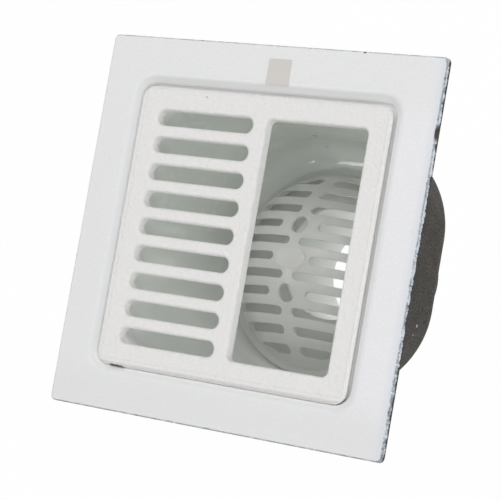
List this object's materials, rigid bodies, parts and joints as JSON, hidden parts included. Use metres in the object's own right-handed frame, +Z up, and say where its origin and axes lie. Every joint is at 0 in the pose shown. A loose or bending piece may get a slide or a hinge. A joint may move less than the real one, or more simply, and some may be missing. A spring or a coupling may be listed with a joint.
{
  "type": "floor drain",
  "caption": "Square enamelled cast iron floor drain: rolled rim and recess, half grate, deep sump, plain outlet spigot and a loose domed strainer over the outlet.",
  "frame": {"origin": "centre of the outlet end, the lowest point of the drain", "axes": "Z up along the outlet axis through the rim face, X across the half grate from its slotted half to its open half, Y along the open half"},
  "size_m": [0.3054, 0.3054, 0.2503],
  "materials": {
    "enamelled_iron": "white porcelain enamel on the rim and inside, bare dark casting skin outside",
    "painted_grate": "white textured coating over cast iron",
    "strainer_plastic": "glossy white moulded plastic",
    "label_paper": "plain pale sticker"
  },
  "bodies": {
    "root": {"drain_body": "enamelled_iron", "half_grate": "painted_grate", "dome_strainer": "strainer_plastic", "label": "label_paper"}
  },
  "joints": []
}
